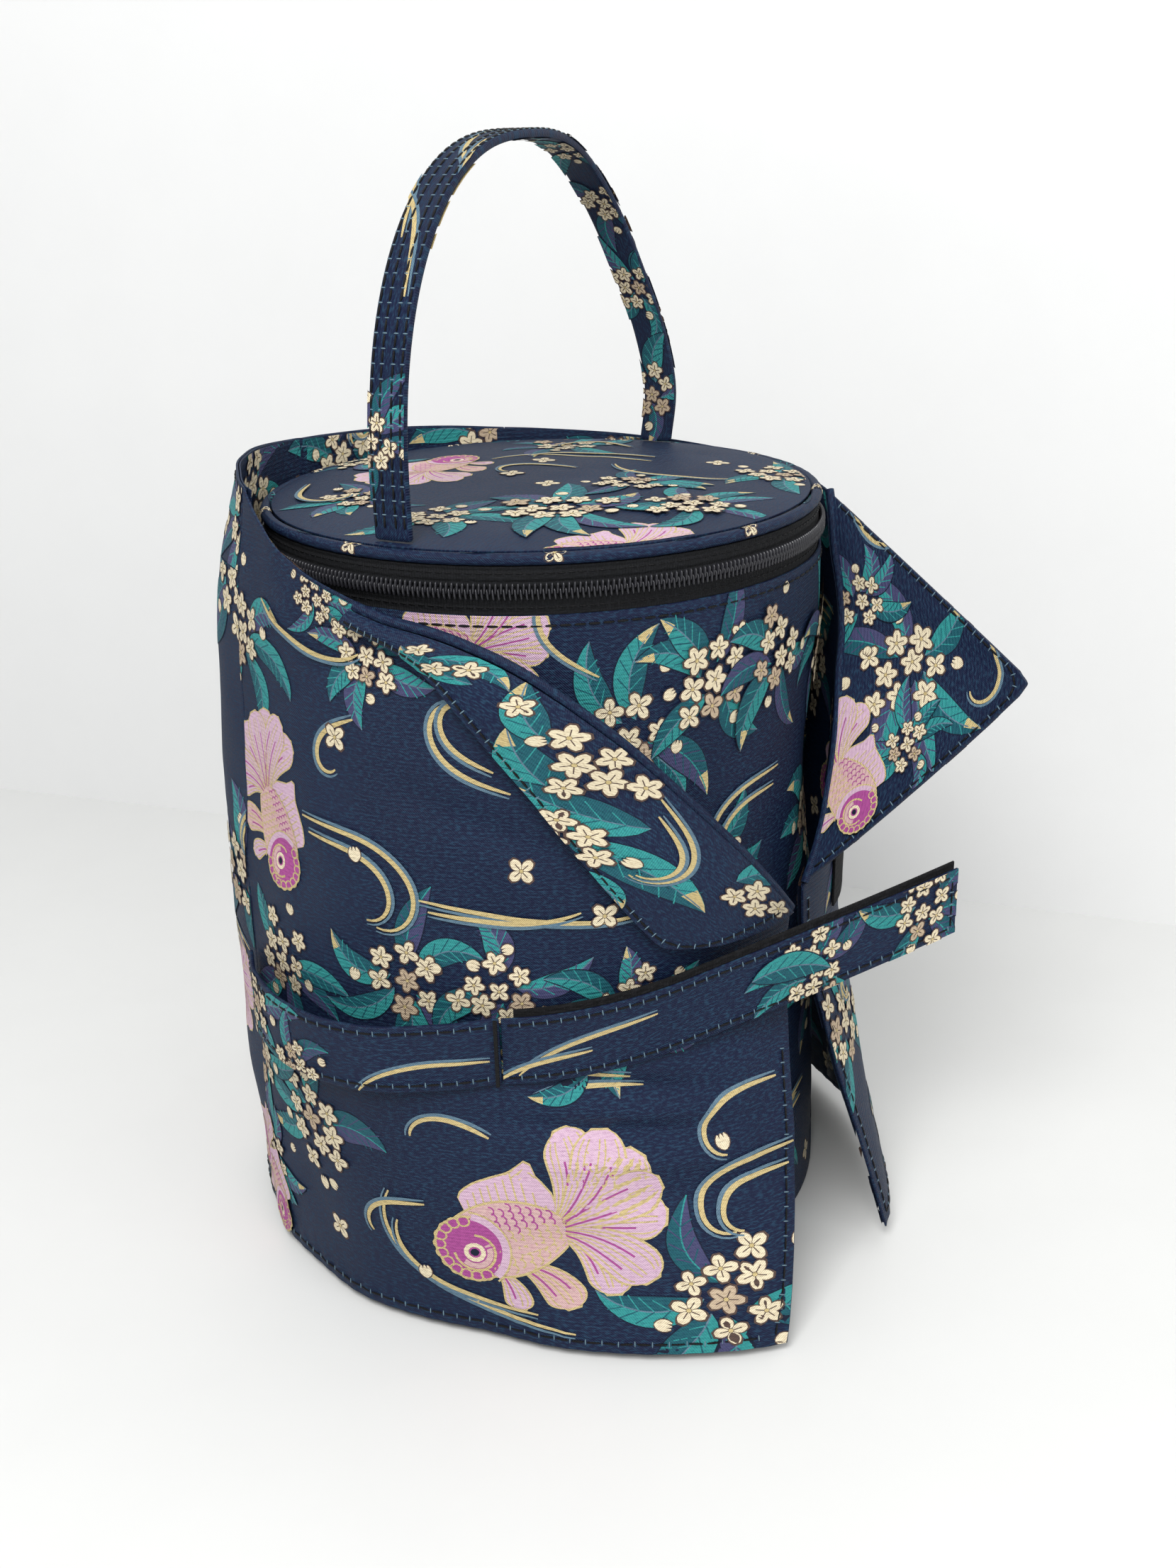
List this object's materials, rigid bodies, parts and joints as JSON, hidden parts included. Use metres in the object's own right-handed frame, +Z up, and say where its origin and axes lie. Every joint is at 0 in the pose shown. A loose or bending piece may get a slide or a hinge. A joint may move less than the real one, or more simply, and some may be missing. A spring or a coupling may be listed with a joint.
{
  "type": "knitting project bag",
  "caption": "Round zipped project bag with a lid and carry handle, in a brocade wrap that opens like a coat with lapels, slip pocket and closing strap.",
  "frame": {"origin": "centre of the round base, on the surface that the bag stands on", "axes": "+Z up through the handle; -Y is the wrap's open front, +Y the lid's hinge and the wrap's fixed back; +X is the side of the clear pocket, and the handle runs along X"},
  "size_m": [0.2397, 0.2793, 0.382],
  "materials": {
    "outer_brocade": "satin-faced navy jacquard with a traditional woven figure, slight sheen",
    "facing_brocade": "same jacquard, interfaced, as facings and lapels",
    "inner_lining": "plain dark lining, matt",
    "padding": "soft batting, matt",
    "board": "thin stiffening board",
    "zip_tape": "black woven herringbone tape, matt",
    "zip_teeth": "black nylon coil, semi-gloss",
    "zip_metal": "dark enamelled zinc, satin",
    "hook_and_loop": "black hook and loop tape, matt",
    "thread": "black sewing thread",
    "clear_film": "clear flexible vinyl film, glossy"
  },
  "bodies": {
    "drum": {"drum_wall": "outer_brocade", "drum_padding": "padding", "drum_lining": "inner_lining", "top_facing": "outer_brocade", "base_panel": "outer_brocade", "base_board": "board", "base_lining": "inner_lining", "zip_tape_lower": "zip_tape", "zip_teeth_lower": "zip_teeth", "lid_hinge_cloth": "outer_brocade", "wrap_back": "outer_brocade", "wrap_back_lining": "facing_brocade", "back_collar": "outer_brocade", "wrap_seam_strip": "outer_brocade"},
    "lid": {"lid_cover": "outer_brocade", "lid_padding": "padding", "lid_lining": "inner_lining", "lid_piping": "outer_brocade", "zip_tape_upper": "zip_tape", "zip_teeth_upper": "zip_teeth", "handle_end_left": "outer_brocade", "handle_end_right": "outer_brocade"},
    "handle": {"handle_strap": "outer_brocade"},
    "zip_slider": {"zip_slider": "zip_metal", "zip_slider_back": "zip_metal"},
    "zip_pull": {"zip_pull": "zip_metal"},
    "wrap_left": {"left_panel": "outer_brocade", "left_panel_lining": "facing_brocade", "pocket_panel": "outer_brocade", "pocket_band": "outer_brocade", "bar_tack": "thread"},
    "lapel_left": {"left_lapel": "facing_brocade"},
    "strap": {"strap_outer": "outer_brocade", "strap_hook_tape": "hook_and_loop"},
    "wrap_right": {"right_panel": "outer_brocade", "right_panel_lining": "facing_brocade", "loop_tape": "hook_and_loop", "clear_pocket": "clear_film", "pocket_zip_tape": "zip_tape", "pocket_zip_teeth": "zip_teeth"},
    "lapel_right": {"right_lapel": "facing_brocade"},
    "pocket_slider": {"pocket_slider": "zip_metal"},
    "pocket_pull": {"pocket_pull": "zip_metal"}
  },
  "joints": [
    {"name": "lid_hinge", "type": "hinge", "parent": "drum", "child": "lid", "pos_m": [0, 0.0945, 0.262], "axis": [-1, 0, 0], "range_deg": [0, 90], "deforming": ["zip_tape_upper", "zip_teeth_upper", "lid_hinge_cloth", "back_collar"]},
    {"name": "handle_swing", "type": "hinge", "parent": "lid", "child": "handle", "pos_m": [0, 0, 0.2733], "axis": [1, 0, 0], "range_deg": [-70, 70], "stiffness_Nm_per_rad": 0.05},
    {"name": "zip_slider_travel", "type": "hinge", "parent": "drum", "child": "zip_slider", "pos_m": [0, 0, 0.2545], "axis": [0, 0, -1], "range_deg": [0, 310]},
    {"name": "zip_pull_swing", "type": "hinge", "parent": "zip_slider", "child": "zip_pull", "pos_m": [0.03739, 0.09253, 0.2545], "axis": [0.3746, 0.9272, 0], "range_deg": [-30, 30]},
    {"name": "wrap_left_swing", "type": "hinge", "parent": "drum", "child": "wrap_left", "pos_m": [-0.08857, 0.0692, 0.1405], "axis": [-0.0358, 0.0279, -0.999], "range_deg": [0, 70]},
    {"name": "wrap_right_swing", "type": "hinge", "parent": "drum", "child": "wrap_right", "pos_m": [0.08644, 0.06754, 0.137], "axis": [-0.0231, -0.0181, 0.9996], "range_deg": [0, 70]},
    {"name": "lapel_left_fold", "type": "hinge", "parent": "wrap_left", "child": "lapel_left", "pos_m": [-0.06988, -0.05266, 0.1902], "axis": [-0.464, 0.6158, 0.6368], "range_deg": [0, 26]},
    {"name": "lapel_right_fold", "type": "hinge", "parent": "wrap_right", "child": "lapel_right", "pos_m": [0.02728, -0.09373, 0.1975], "axis": [0.5193, 0.1527, 0.8408], "range_deg": [-25, 20], "stiffness_Nm_per_rad": 0.06},
    {"name": "strap_swing", "type": "hinge", "parent": "wrap_left", "child": "strap", "pos_m": [-0.10636, -0.03934, 0.108], "axis": [0, 0, -1], "range_deg": [0, 60]},
    {"name": "pocket_slider_travel", "type": "slide", "parent": "wrap_right", "child": "pocket_slider", "axis": [0.0912, -0.248, -0.9644], "range_m": [0, 0.07]},
    {"name": "pocket_pull_swing", "type": "hinge", "parent": "pocket_slider", "child": "pocket_pull", "pos_m": [0.00586, -0.10077, 0.10121], "axis": [-0.0459, 0.9664, -0.2529], "range_deg": [-25, 25]}
  ]
}
